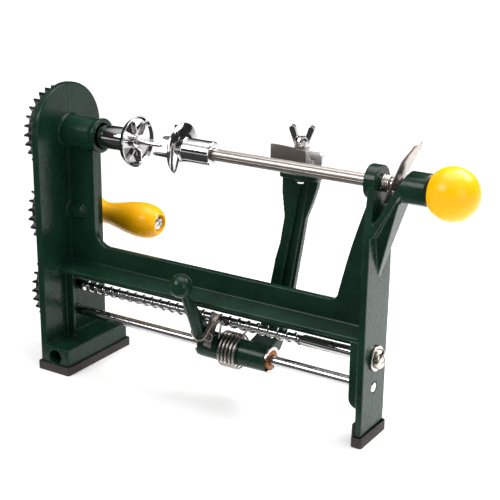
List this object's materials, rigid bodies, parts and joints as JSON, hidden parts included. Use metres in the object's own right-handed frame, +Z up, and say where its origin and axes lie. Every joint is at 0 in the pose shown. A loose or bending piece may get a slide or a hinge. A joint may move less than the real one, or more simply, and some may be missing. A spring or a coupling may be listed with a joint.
{
  "type": "apple peeler corer",
  "caption": "Hand-cranked apple peeler and corer: green C-frame, three-gear spindle drive, sliding tail chuck, and a sprung peeling arm on a carriage.",
  "frame": {"origin": "on the standing surface, in the spindle's vertical plane, below the headstock plate's inner face", "axes": "+X along the spindle from the gears to the ball knob; +Y away from the user's release-lever side; +Z up"},
  "size_m": [0.3559, 0.1033, 0.2177],
  "materials": {
    "green_enamel": "glossy dark green enamel on a casting",
    "chrome": "polished",
    "satin_steel": "satin, brushed lengthwise",
    "steel": "bright nickel",
    "black_gear": "black oxide",
    "rubber": "matt black",
    "yellow_plastic": "glossy warm yellow",
    "bronze": "dark sintered bronze"
  },
  "bodies": {
    "stand": {"cast_frame": "green_enamel", "headstock_pad": "rubber", "tail_boot": "rubber", "spindle_bush": "bronze", "lead_screw_bush": "black_gear", "guide_rod": "chrome", "idler_stud": "steel", "idler_ring": "steel"},
    "crank": {"spindle_shaft": "chrome", "drive_chuck": "chrome", "chuck_pin": "chrome", "spindle_gear": "black_gear", "crank_arm": "steel", "crank_nut": "steel", "grip_screw": "steel"},
    "grip": {"crank_grip": "yellow_plastic"},
    "idler": {"idler_gear": "black_gear"},
    "feed_screw": {"lead_screw": "chrome", "lead_screw_gear": "black_gear", "lead_screw_nut": "steel", "lead_screw_washer": "steel", "lead_screw_end_screw": "steel"},
    "carriage": {"carriage_bush": "bronze", "bush_ring_left": "steel", "bush_ring_right": "steel", "torsion_spring": "steel"},
    "lever": {"release_lever": "green_enamel", "follower_strip": "steel", "follower_rivet": "steel"},
    "arm": {"peeling_arm": "green_enamel", "head_bolt": "steel"},
    "blade_head": {"blade_housing": "satin_steel", "guard_block": "chrome", "peeling_blade": "steel"},
    "wing": {"wing_nut": "chrome"},
    "tail_rod": {"tail_shaft": "satin_steel", "ball_knob": "yellow_plastic"},
    "tail_spinner": {"tail_chuck": "chrome", "chuck_fork": "chrome"},
    "lock": {"lock_plate": "satin_steel", "lock_spring": "steel"}
  },
  "joints": [
    {"name": "crank_turn", "type": "hinge", "parent": "stand", "child": "crank", "pos_m": [0, 0, 0.1815], "axis": [1, 0, 0], "range_deg": [0, 284]},
    {"name": "grip_spin", "type": "hinge", "parent": "crank", "child": "grip", "pos_m": [0, 0.0475, 0.1045], "axis": [1, 0, 0], "continuous": true},
    {"name": "idler_turn", "type": "hinge", "parent": "stand", "child": "idler", "pos_m": [0, 0, 0.12075], "axis": [1, 0, 0], "range_deg": [-284, 0]},
    {"name": "lead_screw_turn", "type": "hinge", "parent": "stand", "child": "feed_screw", "pos_m": [0, 0, 0.06], "axis": [1, 0, 0], "range_deg": [0, 284]},
    {"name": "carriage_slide", "type": "slide", "parent": "stand", "child": "carriage", "axis": [1, 0, 0], "range_m": [-0.098, 0.06]},
    {"name": "lever_release", "type": "hinge", "parent": "carriage", "child": "lever", "pos_m": [0.135, 0, 0.0385], "axis": [1, 0, 0], "range_deg": [0, 30], "stiffness_Nm_per_rad": 0.12, "springref_deg": -34.38, "deforming": ["torsion_spring"]},
    {"name": "arm_swing", "type": "hinge", "parent": "carriage", "child": "arm", "pos_m": [0.165, 0, 0.0385], "axis": [1, 0, 0], "range_deg": [-40, 0], "stiffness_Nm_per_rad": 0.3, "springref_deg": 51.57},
    {"name": "blade_swivel", "type": "hinge", "parent": "arm", "child": "blade_head", "pos_m": [0.1815, 0.032, 0.17], "axis": [0, 0, 1], "range_deg": [-4, 8]},
    {"name": "wing_nut_turn", "type": "hinge", "parent": "arm", "child": "wing", "pos_m": [0.1815, 0.032, 0.188], "axis": [0, 0, 1], "continuous": true},
    {"name": "tail_slide", "type": "slide", "parent": "stand", "child": "tail_rod", "axis": [1, 0, 0], "range_m": [0, 0.105]},
    {"name": "tail_chuck_spin", "type": "hinge", "parent": "tail_rod", "child": "tail_spinner", "pos_m": [0.12, 0, 0.1815], "axis": [1, 0, 0], "continuous": true},
    {"name": "lock_plate_tilt", "type": "hinge", "parent": "stand", "child": "lock", "pos_m": [0.2643, 0, 0.171], "axis": [0, 1, 0], "range_deg": [-8, 0], "stiffness_Nm_per_rad": 0.2, "springref_deg": 17.19, "deforming": ["lock_spring"]}
  ],
  "couplings": [
    {"joint": "idler_turn", "follows": "crank_turn", "ratio": -1},
    {"joint": "lead_screw_turn", "follows": "crank_turn", "ratio": 1}
  ]
}
